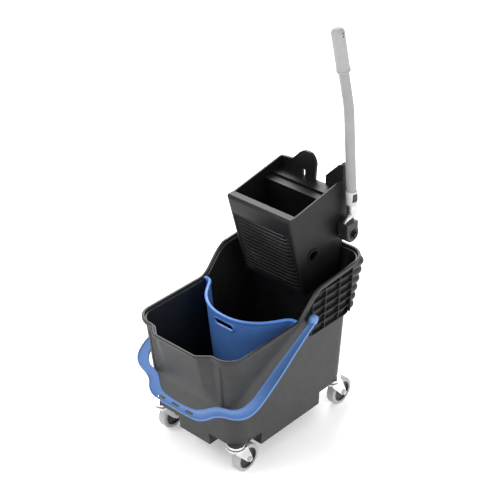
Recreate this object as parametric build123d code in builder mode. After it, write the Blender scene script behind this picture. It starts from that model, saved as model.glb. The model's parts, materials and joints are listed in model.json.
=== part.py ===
"""Wheeled mop bucket with a lever-operated press wringer.

Millimetres. X runs to the right (the lever's side), Y to the rear (the high end) and Z up from
the floor. The pieces are drawn about a middle plane between the two divider hooks; write() moves
them by MOVE_Y, so that the origin lies under the middle of the whole object.
"""
from build123d import *
from math import cos, radians, sin, sqrt
import os

os.makedirs("parts", exist_ok=True)

# ------------------------------------------------------------------ driving dimensions, mm
MOVE_Y = 7.32             # from the drawing's Y = 0 to the middle of the whole object
FIT = 0.05                # radial play of a pin in its bore
GAP = 0.5                 # air between pieces that move past each other

# tub: half-width, front and rear of the outer wall at three heights
FLOOR_Z = 57.0            # flat underside
BEND_Z = 290.0            # above this the rear wall flares
TOP_Z = 470.0             # above the highest rim
TUB_CORNER_R = 42.0
WALL = 3.5
FLOOR_T = 4.0
SIDE_DRAFT = 0.031        # outward per unit of height
FRONT_DRAFT = 0.105
REAR_DRAFT = 0.047
REAR_FLARE = 0.25
BASE_HALF_W = 143.0
BASE_FRONT = -204.0
BASE_REAR = 197.0

# pouring spout: a flat panel that grows out of the front wall
SPOUT_FOOT_Z = 195.0
SPOUT_FOOT = (62.0, -217.5)      # half-width and Y of the panel at its foot
SPOUT_RIM_Z = 363.0
SPOUT_RIM = (66.0, -262.0)       # and at the rim
SPOUT_CHEEK = 1.14               # how far a cheek spreads for each unit it goes back
SPOUT_CHEEK_Y = -190.0           # where the cheeks end, inside the tub
SPOUT_CORNER_R = 14.0

# rim: its side view, and the lip under it
RIM_FRONT = (-330.0, 362.2)
RIM_LOW = (-12.0, 366.0)
RIM_MID = (31.0, 399.0)
RIM_HIGH = (80.0, 433.0)
RIM_REAR = (330.0, 453.0)
LIP_OUT = 8.0
LIP_DEPTH = 11.0
LIP_STEP = 7.0            # depth of the step inside the rim

# lattice of ribs round the rear of the tub
LATTICE_OUT = 8.5
LATTICE_FRONT = 44.0
LATTICE_Z0 = 302.0
LATTICE_PITCH = 22.8
LATTICE_ROWS = 6
LATTICE_UPRIGHTS_Y = (LATTICE_FRONT, 92.0, 145.0, 193.0)
LATTICE_UPRIGHTS_X = (-110.0, -55.0, 0.0, 55.0, 110.0)
RIB_T = 2.4

# castors: their stems, and the arches cut for them
WHEEL_R = 37.5
TREAD_W = 23.0
TRAIL = 31.0
STEM_X = 126.0
STEM_Y = {"front": -191.0, "rear": 172.0}
ARCH_TOP = 95.0
ARCH_X = 51.0
ARCH_Y = {"front": -119.0, "rear": 100.0}
ARCH_CORNER_R = 12.0
BASE_TOP = 124.0                 # the tub is written as two nodes, its base up to here and its walls above
STEM_R = 5.5
RACE_R = 22.0
FORK_X = 17.5                    # half-width outside the fork's cheeks
FORK_T = 2.5
AXLE_R = 4.0
WHEEL_HUB_R = 28.0

# shelf brackets that carry the wringer
SHELF_X = 62.0
SHELF_TOP = 371.5
SHELF_Y = 150.0           # front end of the brackets

# divider
# half of its plan curve at the top edge, from its middle to past the wall
DIVIDER_PLAN = ((0, -100), (30, -97), (60, -86), (90, -64), (112, -36), (126, -14), (138, -5), (156, -4))
DIVIDER_LEAN = 0.12              # how far it goes back for each unit that it goes down
DIVIDER_T = 3.2
DIVIDER_END_Z = 366.0
DIVIDER_MID_Z = 363.0
DIVIDER_SLOT_Z = 335.0           # middle of the finger slot
DIVIDER_SLOT = (60.0, 16.0)
DIVIDER_SLOT_RIM = 5.0           # how far the raised edge reaches round the slot
DIVIDER_HOOK_Y = -5.0

# bail
BAIL_PIVOT = (38.8, 355.4)       # Y and Z of its axis
BAIL_REST = 29.0                 # degrees that it hangs below the horizontal
BAIL_T = 6.0
BAIL_EYE_R = 14.0
BAIL_EYE_X = (162.0, 175.0)
BAIL_PIN_R = 7.0
# half outlines of the flat hoop, from its arm's root to its middle: half-width, and reach from the axis
BAIL_OUTER = ((178, 8), (184, 90), (190, 150), (194, 215), (194, 262), (183, 291), (160, 308), (130, 317),
              (110, 327), (95, 343), (76, 353.5), (50, 357), (0, 357.5))
BAIL_INNER = ((162.5, 8), (162.5, 90), (163, 150), (165, 215), (165, 246), (158, 272), (141, 289),
              (118, 296), (99, 302), (84, 313), (69, 325), (48, 334.5), (0, 338))
BAIL_SLOTS_X = (-32.0, 0.0, 32.0)
BAIL_SLOTS_REACH = 348.0

# wringer
HOUSING_X = 99.0                 # half-width outside
HOUSING_T = 4.0
HOUSING_CORNER_R = 8.0           # of the two sloping front corners and the front's top edge
FACE_TOP = (20.0, 603.0)         # Y, Z of the sloping front at its top
FACE_LOW = (86.0, 374.0)         # and at its foot
HOUSING_FOOT = 372.0
HOUSING_REAR = 219.0
HOUSING_REAR_HIGH = 226.0        # rear edge of the side walls above the shaft
FACE_T = 6.0
REAR_T = 3.5
REAR_TOP = 608.0
SLATS = 14
SLAT_Z0 = 387.5
SLAT_PITCH = 12.1
SLAT_OPEN = 5.2
SLAT_HALF_W = 80.0
GRILLE_Z = (384.3, 555.7)        # the grille fits between the foot rail and the band
SIDE_HOLE = (114.0, 474.0)       # Y and Z of the hole through the side walls
SIDE_HOLE_SIZE = (31.0, 25.0)
SIDE_HOLE_RIM = 4.0              # the raised edge round it

# press: the cross shaft, the cams on it and the plate they push
SHAFT_Y, SHAFT_Z = 228.0, 498.0
SHAFT_R = 8.0
CAM_BASE_R = 38.0                # the plate moves this far for each radian
CAM_X = 40.0
CAM_T = 10.0
LEVER_TRAVEL = 80.0              # degrees
PAD_Y = 205.0                    # rear face of the plate's pads at rest
PLATE_TOP = (151.0, 606.0)
PLATE_FOOT_Z = 385.0
PLATE_LEAN = 0.249               # back along Y for each unit down
PLATE_T = 7.0
PLATE_HALF_W = 92.0

# lever
LEVER_X = 118.0
LEVER_FOOT = (233.5, 577.0)      # Y, Z where the shank enters the sleeve
LEVER_BEND = (207.0, 838.0)
LEVER_END = (158.5, 1024.3)      # end of the tube, inside the grip
LEVER_BEND_R = 350.0
TUBE_R = 12.5
SLEEVE_R = 14.2
SHANK_FLAT = (9.0, 36.0)         # section of the shank's tongue
GRIP_R = 15.8
GRIP_LENGTH = 112.0
GRIP_CAP = 24.0                  # solid head above the end of the tube
HANG_HOLE_R = 2.8
HANG_HOLE_DROPS = (9.0, 16.6)    # of the two hang holes from the top of the grip
HUB_X = (HOUSING_X + 4, HOUSING_X + 34)
HUB_SEAT = (225.0, 500.0)        # Y and Z of the middle of the hub's barrel
HUB_R = 21.0

RISE = (FACE_TOP[0] - FACE_LOW[0]) / (FACE_TOP[1] - FACE_LOW[1])   # Y per unit of Z up the front
SIDES = {"left": -1, "right": 1}


def write(piece, node):
    """Move a finished piece onto the object's origin, label it and write its STEP file."""
    placed = piece.moved(Location((0, MOVE_Y, 0)))
    placed.label = node
    export_step(placed, f"parts/{node}.step")


# ------------------------------------------------------------------ shapes that several pieces share
def tub_at(z):
    """Half-width, front and rear of the tub's outer wall at height z."""
    up = z - FLOOR_Z
    rear = BASE_REAR + REAR_DRAFT * min(up, BEND_Z - FLOOR_Z) + REAR_FLARE * max(z - BEND_Z, 0)
    return BASE_HALF_W + SIDE_DRAFT * up, BASE_FRONT - FRONT_DRAFT * up, rear


def tub(grow, low=FLOOR_Z):
    """The tub's outer form, grown sideways, lofted through rounded rectangles."""
    with BuildPart() as form:
        for z in (low, BEND_Z, TOP_Z):
            half_width, front, rear = tub_at(z)
            with BuildSketch(Plane.XY.offset(z)):
                with Locations((0, (front + rear) / 2)):
                    RectangleRounded(2 * (half_width + grow), rear - front + 2 * grow, TUB_CORNER_R + grow)
        loft(ruled=True)
    return form.part


def spout(grow):
    """The spout's wedge, grown sideways, from its foot to above the rim."""
    lean = (SPOUT_RIM[1] - SPOUT_FOOT[1]) / (SPOUT_RIM_Z - SPOUT_FOOT_Z)
    widen = (SPOUT_RIM[0] - SPOUT_FOOT[0]) / (SPOUT_RIM_Z - SPOUT_FOOT_Z)
    spread = grow * (sqrt(1 + SPOUT_CHEEK ** 2) - SPOUT_CHEEK)
    with BuildPart() as form:
        for z in (SPOUT_FOOT_Z, 380.0):
            front = SPOUT_FOOT[1] + lean * (z - SPOUT_FOOT_Z) - grow
            half = SPOUT_FOOT[0] + widen * (z - SPOUT_FOOT_Z) + spread
            back = half + SPOUT_CHEEK * (SPOUT_CHEEK_Y - front)
            with BuildSketch(Plane.XY.offset(z)) as section:
                with BuildLine():
                    corners = [(-back, SPOUT_CHEEK_Y), (-half, front), (half, front), (back, SPOUT_CHEEK_Y)]
                    Polyline(corners, close=True)
                make_face()
                fillet(section.vertices().group_by(Axis.Y)[0], SPOUT_CORNER_R + grow)
        loft(ruled=True)
    return form.part


def under_rim(drop):
    """Everything lower than the rim's side view, lowered by drop."""
    points = [Vector(y, z - drop) for y, z in (RIM_FRONT, RIM_LOW, RIM_MID, RIM_HIGH, RIM_REAR)]
    with BuildPart() as form:
        with BuildSketch(Plane.YZ):
            with BuildLine():
                Line(points[0], points[1])
                Spline(points[1:4], tangents=[points[1] - points[0], points[4] - points[3]])
                Line(points[3], points[4])
                Polyline(points[4], (points[4].X, 0), (points[0].X, 0), points[0])
            make_face()
        extrude(amount=250, both=True)
    return form.part


def arch_blocks(grow):
    """The four wheel arches at the tub's corners, grown by grow inwards and upwards."""
    depth = 400.0
    with BuildPart() as form:
        for end, y in ARCH_Y.items():
            middle = y + grow - depth / 2 if end == "front" else y - grow + depth / 2
            for side in SIDES.values():
                with BuildSketch(Plane.XY.offset(FLOOR_Z - 10)):
                    with Locations((side * (ARCH_X - grow + depth / 2), middle)):
                        RectangleRounded(depth, depth, ARCH_CORNER_R + grow)
                extrude(amount=ARCH_TOP + grow - FLOOR_Z + 10)
    return form.part


# ------------------------------------------------------------------ bucket
with BuildPart() as cavity:
    add(tub(-WALL, FLOOR_Z + FLOOR_T))
    add(spout(-WALL))
    add(arch_blocks(WALL), mode=Mode.SUBTRACT)
    for end_y in STEM_Y.values():
        for side in SIDES.values():
            with Locations((side * STEM_X, end_y, ARCH_TOP)):
                Cylinder(14, 28, align=(Align.CENTER, Align.CENTER, Align.MIN), mode=Mode.SUBTRACT)
    for side in SIDES.values():
        with Locations((side * SHELF_X, SHELF_Y, SHELF_TOP)):
            Box(10, 90, 70, align=(Align.CENTER, Align.MIN, Align.MAX), mode=Mode.SUBTRACT)

with BuildPart() as lip:
    add(tub(LIP_OUT))
    add(spout(LIP_OUT))
    add(under_rim(0), mode=Mode.INTERSECT)
    add(under_rim(LIP_DEPTH), mode=Mode.SUBTRACT)

with BuildPart() as rim_step:
    add(tub(0.5))
    add(spout(0.5))
    add(under_rim(LIP_STEP), mode=Mode.SUBTRACT)

with BuildPart() as lattice:
    for row in range(LATTICE_ROWS):
        with Locations((0, LATTICE_FRONT, LATTICE_Z0 + row * LATTICE_PITCH)):
            Box(400, 240, RIB_T, align=(Align.CENTER, Align.MIN, Align.CENTER))
    for y in LATTICE_UPRIGHTS_Y:
        with Locations((0, y, LATTICE_Z0)):
            Box(400, RIB_T, 160, align=(Align.CENTER, Align.MIN, Align.MIN))
    for x in LATTICE_UPRIGHTS_X:
        with Locations((x, 160, LATTICE_Z0)):
            Box(RIB_T, 120, 160, align=(Align.CENTER, Align.MIN, Align.MIN))
    add(tub(LATTICE_OUT), mode=Mode.INTERSECT)
    add(under_rim(LIP_DEPTH), mode=Mode.INTERSECT)
    add(tub(0), mode=Mode.SUBTRACT)
write(lattice.part, "rim_lattice")

with BuildPart() as bucket:
    add(tub(0))
    add(spout(0))
    add(under_rim(0), mode=Mode.INTERSECT)
    add(lip.part)
    add(cavity.part, mode=Mode.SUBTRACT)
    add(rim_step.part, mode=Mode.SUBTRACT)
    add(arch_blocks(0), mode=Mode.SUBTRACT)
    for end_y in STEM_Y.values():
        for side in SIDES.values():
            with Locations((side * STEM_X, end_y, ARCH_TOP - 1)):
                Cylinder(STEM_R + FIT, 25, align=(Align.CENTER, Align.CENTER, Align.MIN), mode=Mode.SUBTRACT)

# one moulding, written as two nodes that meet face to face
for node, kept in (("bucket_base", Keep.BOTTOM), ("bucket_shell", Keep.TOP)):
    with BuildPart() as section:
        add(bucket.part)
        split(bisect_by=Plane.XY.offset(BASE_TOP), keep=kept)
    write(section.part, node)

# the bosses that the bail turns on, one each side under the rim
for name, side in SIDES.items():
    foot = tub_at(BAIL_PIVOT[1])[0] - 1.5
    seat = Plane(origin=(side * foot, *BAIL_PIVOT), z_dir=(side, 0, 0))
    with BuildPart() as bail_boss:
        with BuildSketch(seat):
            Circle(11)
        extrude(amount=BAIL_EYE_X[0] - GAP - foot)
        with BuildSketch(seat):
            Circle(BAIL_PIN_R)
        extrude(amount=BAIL_EYE_X[1] - 4 - foot)
        add(tub(0), mode=Mode.SUBTRACT)
        add(lattice.part, mode=Mode.SUBTRACT)
    write(bail_boss.part, f"bail_boss_{name}")

# ------------------------------------------------------------------ divider
def divider_sheet(thickness, low):
    """The divider's plan curve as a leaning sheet, from above its top edge down to low."""
    up = 12
    with BuildPart() as form:
        with BuildSketch(Plane.XY.offset(DIVIDER_END_Z + up)):
            with BuildLine():
                half = [(x, y - DIVIDER_LEAN * up) for x, y in DIVIDER_PLAN]
                Spline([(-x, y) for x, y in half[:0:-1]] + half)
            trace(line_width=thickness)
        extrude(amount=(DIVIDER_END_Z + up - low) * sqrt(1 + DIVIDER_LEAN ** 2), dir=(0, DIVIDER_LEAN, -1))
    return form.part


def under_crown(drop):
    """Everything lower than the divider's dipping top edge, lowered by drop."""
    with BuildPart() as form:
        with BuildSketch(Plane.XZ):
            with BuildLine():
                crown = ThreePointArc((-170, DIVIDER_END_Z - drop), (0, DIVIDER_MID_Z - drop),
                                      (170, DIVIDER_END_Z - drop))
                Polyline(crown @ 1, (170, 0), (-170, 0), crown @ 0)
            make_face()
        extrude(amount=200, both=True)
    return form.part


with BuildPart() as bead:
    add(divider_sheet(8, 340))
    add(under_crown(0), mode=Mode.INTERSECT)
    add(under_crown(6), mode=Mode.SUBTRACT)

with BuildPart() as divider:
    add(divider_sheet(DIVIDER_T, FLOOR_Z + FLOOR_T + GAP))
    add(under_crown(0), mode=Mode.INTERSECT)
    add(bead.part)
    slot_y = DIVIDER_PLAN[0][1] + DIVIDER_LEAN * (DIVIDER_END_Z - DIVIDER_SLOT_Z)
    with BuildSketch(Plane.XZ.offset(-slot_y - 5)):
        with Locations((0, DIVIDER_SLOT_Z)):
            SlotOverall(DIVIDER_SLOT[0] + 2 * DIVIDER_SLOT_RIM, DIVIDER_SLOT[1] + 2 * DIVIDER_SLOT_RIM)
    extrude(amount=10)
    add(tub(-WALL - GAP, FLOOR_Z + 2), mode=Mode.INTERSECT)
    # hooks: a tab that lies on the ledge inside the rim, and a leg down inside the wall
    for side in SIDES.values():
        with Locations((side * 146.2, DIVIDER_HOOK_Y, DIVIDER_END_Z - 4)):
            Box(12.4, 8, 3.5, align=(Align.CENTER, Align.CENTER, Align.MIN))
        with Locations((side * 143, DIVIDER_HOOK_Y, DIVIDER_END_Z - 14)):
            Box(6, 8, 13.5, align=(Align.CENTER, Align.CENTER, Align.MIN))
    with BuildSketch(Plane.XZ.offset(-slot_y - 30)):
        with Locations((0, DIVIDER_SLOT_Z)):
            SlotOverall(*DIVIDER_SLOT)
    extrude(amount=60, mode=Mode.SUBTRACT)
write(divider.part, "divider")

# ------------------------------------------------------------------ bail
with BuildPart() as bail:
    hang = radians(BAIL_REST)
    with BuildSketch(Plane(origin=(0, *BAIL_PIVOT), x_dir=(1, 0, 0), z_dir=(0, sin(hang), -cos(hang)))):
        with BuildLine():
            outer = [(-x, r) for x, r in BAIL_OUTER] + [(x, r) for x, r in BAIL_OUTER[-2::-1]]
            inner = [(-x, r) for x, r in BAIL_INNER] + [(x, r) for x, r in BAIL_INNER[-2::-1]]
            Spline(outer)
            Spline(inner)
            Line(outer[0], inner[0])
            Line(outer[-1], inner[-1])
        make_face()
        with Locations(*[(x, BAIL_SLOTS_REACH) for x in BAIL_SLOTS_X]):
            SlotOverall(19, 6.5, mode=Mode.SUBTRACT)
    extrude(amount=BAIL_T / 2, both=True)
    for side in SIDES.values():
        with BuildSketch(Plane(origin=(side * BAIL_EYE_X[0], *BAIL_PIVOT), z_dir=(side, 0, 0))):
            Circle(BAIL_EYE_R)
        extrude(amount=BAIL_EYE_X[1] - BAIL_EYE_X[0])
        with BuildSketch(Plane(origin=(side * (BAIL_EYE_X[0] - 1), *BAIL_PIVOT), z_dir=(side, 0, 0))):
            Circle(BAIL_PIN_R + FIT)
        extrude(amount=BAIL_EYE_X[1] - BAIL_EYE_X[0] - 2, mode=Mode.SUBTRACT)
write(bail.part, "bail")


# ------------------------------------------------------------------ wringer housing
def face_y(z, back=0.0):
    """Y of the sloping front at height z, moved back along Y."""
    return FACE_TOP[0] + RISE * (z - FACE_TOP[1]) + back


def side_view(x, thickness, points):
    """A plate of the YZ outline through points, from x outwards in +X."""
    with BuildPart() as form:
        with BuildSketch(Plane.YZ.offset(x)):
            with BuildLine():
                Polyline(*points, close=True)
            make_face()
        extrude(amount=thickness)
    return form.part


HOUSING_TOP = 607.0
SHOULDER_Y = 47.0                # rear edge of the flat strip along the front's top
HOUSING_OUTLINE = ((face_y(HOUSING_FOOT), HOUSING_FOOT), (face_y(HOUSING_TOP), HOUSING_TOP),
                   (SHOULDER_Y, HOUSING_TOP), (216, 640), (HOUSING_REAR_HIGH, 636), (HOUSING_REAR_HIGH, 462),
                   (HOUSING_REAR, 450), (HOUSING_REAR, HOUSING_FOOT))
WINDOW_X = HOUSING_X - HOUSING_CORNER_R          # half-width of the opening that the slatted front fills

with BuildPart() as wringer_housing:
    # a block with rounded front corners, hollowed from behind and above
    add(side_view(-HOUSING_X, 2 * HOUSING_X, HOUSING_OUTLINE))
    long_corners = wringer_housing.edges().filter_by(lambda e: abs(abs(e.center().X) - HOUSING_X) < 0.1
                                                     and e.length > 200 and e.center().Y < 80)
    top_edge = wringer_housing.edges().filter_by(Axis.X).filter_by(
        lambda e: abs(e.center().Z - HOUSING_TOP) < 0.1 and e.center().Y < 40)
    fillet(long_corners + top_edge, HOUSING_CORNER_R)
    inside = HOUSING_X - HOUSING_T
    add(side_view(-inside, 2 * inside, ((face_y(376, FACE_T), 376), (face_y(588, FACE_T), 588),
                                        (SHOULDER_Y, 603), (SHOULDER_Y, 700), (240, 700), (240, 376))),
        mode=Mode.SUBTRACT)
    low, high = GRILLE_Z
    add(side_view(-WINDOW_X, 2 * WINDOW_X, ((face_y(low, -5), low), (face_y(high, -5), high),
                                            (face_y(high, FACE_T + 5), high), (face_y(low, FACE_T + 5), low))),
        mode=Mode.SUBTRACT)
    # the bosses that carry the cross shaft
    for side in SIDES.values():
        with BuildSketch(Plane.YZ.offset(side * HOUSING_X - (HOUSING_T if side > 0 else 0))):
            with Locations((SHAFT_Y, SHAFT_Z)):
                Circle(20)
        extrude(amount=HOUSING_T)
    # rear wall
    with Locations((0, HOUSING_REAR, HOUSING_FOOT)):
        Box(2 * HOUSING_X, REAR_T, REAR_TOP - HOUSING_FOOT, align=(Align.CENTER, Align.MAX, Align.MIN))
    # cover strip behind the mouth
    with Locations((0, HOUSING_REAR, REAR_TOP)):
        Box(2 * HOUSING_X, 40, 3.5, align=(Align.CENTER, Align.MAX, Align.MIN))
    # high left part of the rear wall, and the left ear with its hanging slot
    with BuildSketch(Plane.XZ.offset(-HOUSING_REAR)):
        with BuildLine():
            Polyline((12, 600), (-HOUSING_X, 600), (-HOUSING_X, 639), (-62, 643))
            ThreePointArc((-62, 643), (-52, 653), (-40, 666))
            ThreePointArc((-40, 666), (-20, 677), (0, 676))
            ThreePointArc((0, 676), (11, 664), (14, 640))
            Line((14, 640), (12, 600))
        make_face()
        with Locations((-23, 615)):
            SlotOverall(24, 8, rotation=90, mode=Mode.SUBTRACT)
    extrude(amount=-7)
    # right ear: a box open at the top, on a hollow column that stands over the shaft's boss
    with BuildSketch(Plane.XZ.offset(-HOUSING_REAR)):
        Polygon((46, 600), (46, 634), (84, 674), (HOUSING_X, 679), (HOUSING_X, 516), (62, 524), (62, 600),
                align=None)
    extrude(amount=-22)
    with Locations((72.5, HOUSING_REAR + 4, 612)):
        Box(45, 14, 75, align=(Align.CENTER, Align.MIN, Align.MIN), mode=Mode.SUBTRACT)
    with Locations((80.5, HOUSING_REAR + 4, 510)):
        Box(29, 14, 110, align=(Align.CENTER, Align.MIN, Align.MIN), mode=Mode.SUBTRACT)
    # the wall's drains, the cams' windows and the side hole
    with Locations(*[(x, 150, HOUSING_FOOT) for x in (-72, -48, -24, 0, 24, 48, 72)]):
        Box(12, 86, 20, mode=Mode.SUBTRACT)
    for side in SIDES.values():
        with Locations((side * CAM_X, HOUSING_REAR, 475)):
            Box(CAM_T + 6, 12, 120, align=(Align.CENTER, Align.CENTER, Align.MIN), mode=Mode.SUBTRACT)
    with BuildSketch(Plane.YZ.offset(HOUSING_X - HOUSING_T - 1)):
        with Locations(SIDE_HOLE):
            RectangleRounded(SIDE_HOLE_SIZE[0] + 2 * SIDE_HOLE_RIM, SIDE_HOLE_SIZE[1] + 2 * SIDE_HOLE_RIM, 13)
    extrude(amount=HOUSING_T + 4)
    with BuildSketch(Plane.YZ.offset(-HOUSING_X - 5)):
        with Locations(SIDE_HOLE):
            RectangleRounded(*SIDE_HOLE_SIZE, 9)
    extrude(amount=2 * HOUSING_X + 10, mode=Mode.SUBTRACT)
    # shaft bores
    with BuildSketch(Plane.YZ.offset(-HOUSING_X - 5)):
        with Locations((SHAFT_Y, SHAFT_Z)):
            Circle(12)
    extrude(amount=2 * HOUSING_X + 10, mode=Mode.SUBTRACT)
write(wringer_housing.part, "wringer_housing")

# ------------------------------------------------------------------ slatted front
with BuildPart() as front_grille:
    add(side_view(-WINDOW_X, 2 * WINDOW_X, ((face_y(low), low), (face_y(high), high),
                                            (face_y(high, FACE_T), high), (face_y(low, FACE_T), low))))
    for slat in range(SLATS):
        z = SLAT_Z0 + slat * SLAT_PITCH
        add(side_view(-SLAT_HALF_W, 2 * SLAT_HALF_W, ((face_y(z) - 3, z), (face_y(z) - 3, z + SLAT_OPEN),
                                                      (face_y(z) + 10, z + SLAT_OPEN + 3),
                                                      (face_y(z) + 10, z + 3))), mode=Mode.SUBTRACT)
write(front_grille.part, "front_grille")

# ------------------------------------------------------------------ hooks that hang the wringer on the rear rim
for name, side in SIDES.items():
    with BuildPart() as rim_hook:
        rim_rear = tub_at(449)[2]
        lip_rear = rim_rear + LIP_OUT
        low_x = side * 58 - 15
        add(side_view(low_x, 30, ((HOUSING_REAR + 0.1, 452), (HOUSING_REAR + 0.1, 476), (HOUSING_REAR + 10, 476),
                                  (lip_rear + 5, 461), (lip_rear + 5, 434), (lip_rear + 1, 434),
                                  (lip_rear + 1, 452))))
    write(rim_hook.part, f"rim_hook_{name}")

# ------------------------------------------------------------------ shaft bushes
for name, side in SIDES.items():
    with BuildPart() as bush:
        with BuildSketch(Plane(origin=(side * (HOUSING_X - HOUSING_T - 2), SHAFT_Y, SHAFT_Z), z_dir=(side, 0, 0))):
            Circle(12 - FIT)
        extrude(amount=HOUSING_T + 2)
        with BuildSketch(Plane(origin=(side * HOUSING_X, SHAFT_Y, SHAFT_Z), z_dir=(side, 0, 0))):
            Circle(15)
        extrude(amount=2)
        with BuildSketch(Plane(origin=(side * (HOUSING_X - 10), SHAFT_Y, SHAFT_Z), z_dir=(side, 0, 0))):
            Circle(SHAFT_R + FIT)
        extrude(amount=20, mode=Mode.SUBTRACT)
    write(bush.part, f"shaft_bush_{name}")

# ------------------------------------------------------------------ press plate
def plate_y(z, back=0.0):
    """Y of the press plate's front face at height z, moved back along Y."""
    return PLATE_TOP[0] + PLATE_LEAN * (PLATE_TOP[1] - z) + back


with BuildPart() as press_plate:
    add(side_view(-PLATE_HALF_W, 2 * PLATE_HALF_W, (
        (plate_y(PLATE_FOOT_Z), PLATE_FOOT_Z), (plate_y(PLATE_TOP[1]), PLATE_TOP[1]),
        (plate_y(PLATE_TOP[1], 36), PLATE_TOP[1]), (plate_y(PLATE_TOP[1], 36), PLATE_TOP[1] - 3.5),
        (plate_y(PLATE_TOP[1] - 3.5, PLATE_T), PLATE_TOP[1] - 3.5), (plate_y(PLATE_FOOT_Z, PLATE_T), PLATE_FOOT_Z))))
    # ribs down the back, and the two deeper ones that the cams push
    for x in (-80, 0, 80):
        add(side_view(x - 1.5, 3, ((plate_y(590, PLATE_T - 1), 590), (plate_y(590, 34), 590),
                                   (plate_y(420, PLATE_T), 420))))
    for side in SIDES.values():
        add(side_view(side * CAM_X - CAM_T / 2, CAM_T, ((plate_y(600, PLATE_T - 1), 600), (PAD_Y, 600),
                                                        (PAD_Y, 500), (plate_y(470, PLATE_T - 1), 470))))
write(press_plate.part, "press_plate")

# ------------------------------------------------------------------ cross shaft and cams
with BuildPart() as cross_shaft:
    with BuildSketch(Plane.YZ.offset(-HOUSING_X - 8)):
        with Locations((SHAFT_Y, SHAFT_Z)):
            Circle(SHAFT_R)
    extrude(amount=HOUSING_X + 8 + LEVER_X + 14)
write(cross_shaft.part, "cross_shaft")


def involute(roll, turn):
    """Point of the cam's flank: the base circle unrolled by roll, the whole turned back by turn."""
    reach = CAM_BASE_R * roll
    up, fore = CAM_BASE_R, reach
    a = -turn
    return SHAFT_Y - fore * cos(a) - up * sin(a), SHAFT_Z + up * cos(a) - fore * sin(a)


ROLL_START = (SHAFT_Y - PAD_Y - GAP * 0.6) / CAM_BASE_R
ROLL_TRAVEL = radians(LEVER_TRAVEL)
for name, side in SIDES.items():
    with BuildPart() as cam:
        with BuildSketch(Plane.YZ.offset(side * CAM_X - CAM_T / 2)):
            with BuildLine():
                steps = 8
                flank = [involute(ROLL_START + ROLL_TRAVEL * i / steps, ROLL_TRAVEL * i / steps)
                         for i in range(steps + 1)]
                Spline(*flank)
                Polyline(flank[-1], (SHAFT_Y + 14, SHAFT_Z + 4), (SHAFT_Y + 2, SHAFT_Z - 14),
                         (SHAFT_Y - 12, SHAFT_Z - 2), flank[0])
            make_face()
            with Locations((SHAFT_Y, SHAFT_Z)):
                Circle(14)
        extrude(amount=CAM_T)
        with BuildSketch(Plane.YZ.offset(side * CAM_X - 9)):
            with Locations((SHAFT_Y, SHAFT_Z)):
                Circle(11)
        extrude(amount=18)
        with BuildSketch(Plane.YZ.offset(side * CAM_X - 20)):
            with Locations((SHAFT_Y, SHAFT_Z)):
                Circle(SHAFT_R + FIT)
        extrude(amount=40, mode=Mode.SUBTRACT)
    write(cam.part, f"cam_{name}")


# ------------------------------------------------------------------ lever
with BuildPart() as lever_hub:
    with BuildSketch(Plane.YZ.offset(HUB_X[0])):
        with Locations(HUB_SEAT):
            Circle(HUB_R)
        with Locations((222, 518)):
            Rectangle(42, 27)
    extrude(amount=HUB_X[1] - HUB_X[0])
    for rib in range(5):
        with BuildSketch(Plane.YZ.offset(HUB_X[0] + 3 + 5.6 * rib)):
            with Locations(HUB_SEAT):
                Circle(HUB_R + 2)
        extrude(amount=2)
    with BuildSketch(Plane.YZ.offset(HUB_X[0] - 1)):
        with Locations((SHAFT_Y, SHAFT_Z)):
            Circle(SHAFT_R + FIT)
    extrude(amount=50, mode=Mode.SUBTRACT)
    with Locations((LEVER_X, 222, 514)):
        Box(SHANK_FLAT[0] + 2 * FIT, SHANK_FLAT[1] + 2 * FIT, 30, align=(Align.CENTER, Align.CENTER, Align.MIN),
            mode=Mode.SUBTRACT)
write(lever_hub.part, "lever_hub")

with BuildPart() as hub_bolt:
    with BuildSketch(Plane.YZ.offset(HUB_X[1])):
        with Locations((SHAFT_Y, SHAFT_Z)):
            Circle(13)
    extrude(amount=2)
    with BuildSketch(Plane.YZ.offset(HUB_X[1] + 2)):
        with Locations((SHAFT_Y, SHAFT_Z)):
            RegularPolygon(8, 6)
    extrude(amount=5)
write(hub_bolt.part, "hub_bolt")

with BuildPart() as shaft_circlip:
    with BuildSketch(Plane.YZ.offset(-HOUSING_X - 5)):
        with Locations((SHAFT_Y, SHAFT_Z)):
            Circle(12.5)
            Circle(SHAFT_R + FIT, mode=Mode.SUBTRACT)
    extrude(amount=1.5)
write(shaft_circlip.part, "shaft_circlip")


def lever_plane(start, end):
    """Plane across the lever at start, looking along the run from start to end."""
    run = Vector(0, end[0] - start[0], end[1] - start[1])
    return Plane(origin=(LEVER_X, *start), x_dir=(1, 0, 0), z_dir=run)


lower = lever_plane(LEVER_FOOT, LEVER_BEND)
upper = lever_plane(LEVER_END, (2 * LEVER_END[0] - LEVER_BEND[0], 2 * LEVER_END[1] - LEVER_BEND[1]))

# galvanised shank: a tube whose foot is flattened into a tongue that the hub holds
with BuildPart() as lever_shank:
    with BuildSketch(Plane.XY.offset(514.5)):
        with Locations((LEVER_X, 222)):
            RectangleRounded(*SHANK_FLAT, 3)
    extrude(amount=18)
    with BuildSketch(Plane.XY.offset(532.5)):
        with Locations((LEVER_X, 222)):
            RectangleRounded(*SHANK_FLAT, 3)
    with BuildSketch(lower.offset(-26)):
        Circle(TUBE_R)
    loft()
    with BuildSketch(lower.offset(-26)):
        Circle(TUBE_R)
    extrude(amount=25)
    with BuildSketch(lower.offset(-1)):
        Circle(TUBE_R - 2.5)
    extrude(amount=30)
write(lever_shank.part, "lever_shank")

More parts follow.
